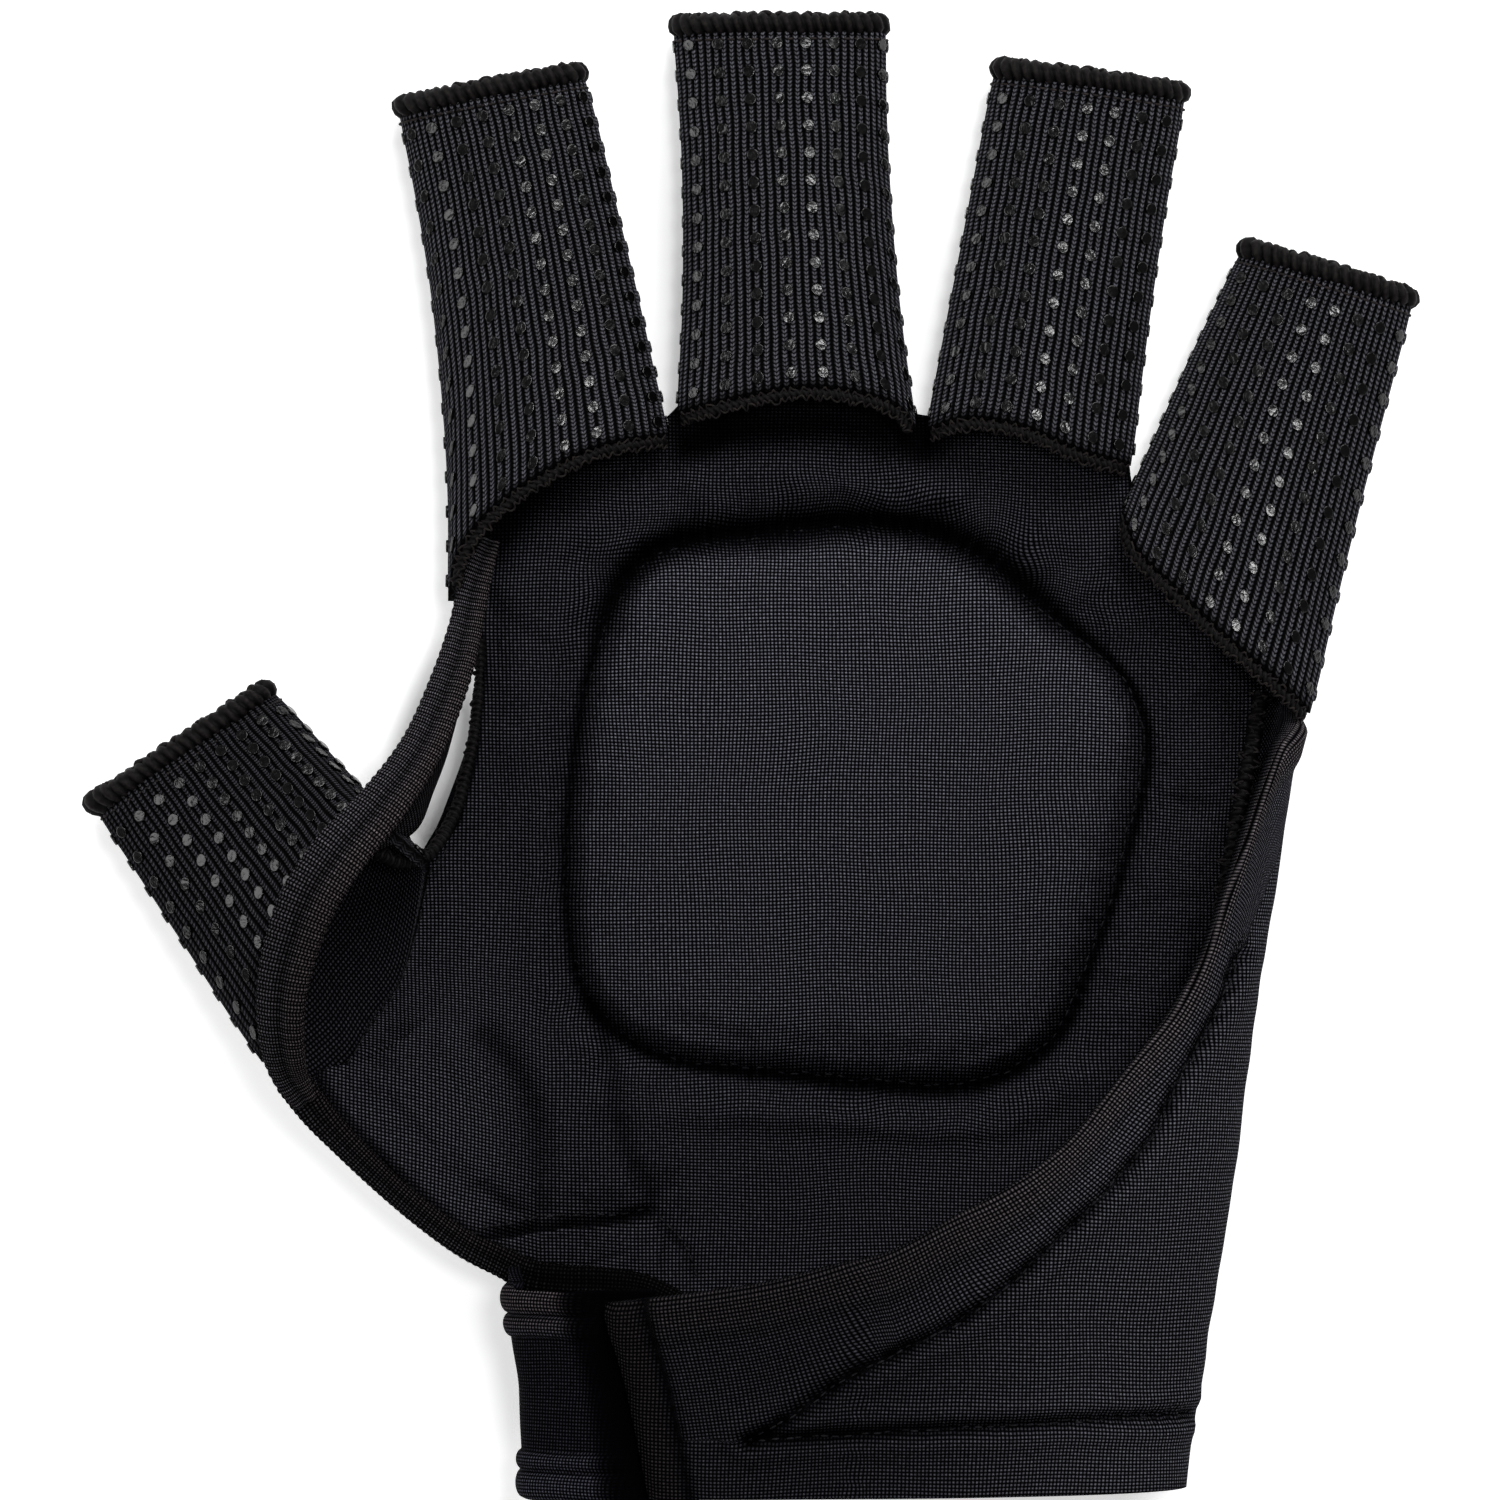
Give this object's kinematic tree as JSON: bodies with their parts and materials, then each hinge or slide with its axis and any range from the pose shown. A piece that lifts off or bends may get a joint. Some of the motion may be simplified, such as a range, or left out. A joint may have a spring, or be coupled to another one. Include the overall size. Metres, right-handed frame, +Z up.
{
  "type": "field hockey glove",
  "caption": "Left-hand field hockey glove with a padded back, an open palm, a heel and wrist panel and half finger tubes, lying on its back.",
  "frame": {"origin": "on the surface it lies on, under the middle of the glove's outline", "axes": "+Z up out of the open palm, +Y towards the finger tips, the thumb at -X"},
  "size_m": [0.168, 0.1867, 0.0294],
  "materials": {
    "jersey": "matte black polyester jersey laminated to foam, fine square knit",
    "foam_cloth": "smooth black stretch cloth laminated to thin foam, fine horizontal knit",
    "rib_knit": "matte black elastic rib knit, ribs along the finger",
    "overlock_thread": "black overlock thread in close slanted loops",
    "grip_dots": "glossy black silicone, printed in small raised dots"
  },
  "bodies": {
    "root": {"back_shell": "jersey", "hand_pad": "jersey", "heel_panel": "foam_cloth", "cuff_gusset": "foam_cloth", "web_band": "jersey", "heel_edge_binding": "jersey", "index_tube": "rib_knit", "middle_tube": "rib_knit", "ring_tube": "rib_knit", "little_tube": "rib_knit", "thumb_tube": "rib_knit", "index_tip_hem": "overlock_thread", "middle_tip_hem": "overlock_thread", "ring_tip_hem": "overlock_thread", "little_tip_hem": "overlock_thread", "thumb_tip_hem": "overlock_thread", "index_base_seam": "overlock_thread", "middle_base_seam": "overlock_thread", "ring_base_seam": "overlock_thread", "little_base_seam": "overlock_thread", "side_seam": "overlock_thread"}
  },
  "joints": []
}
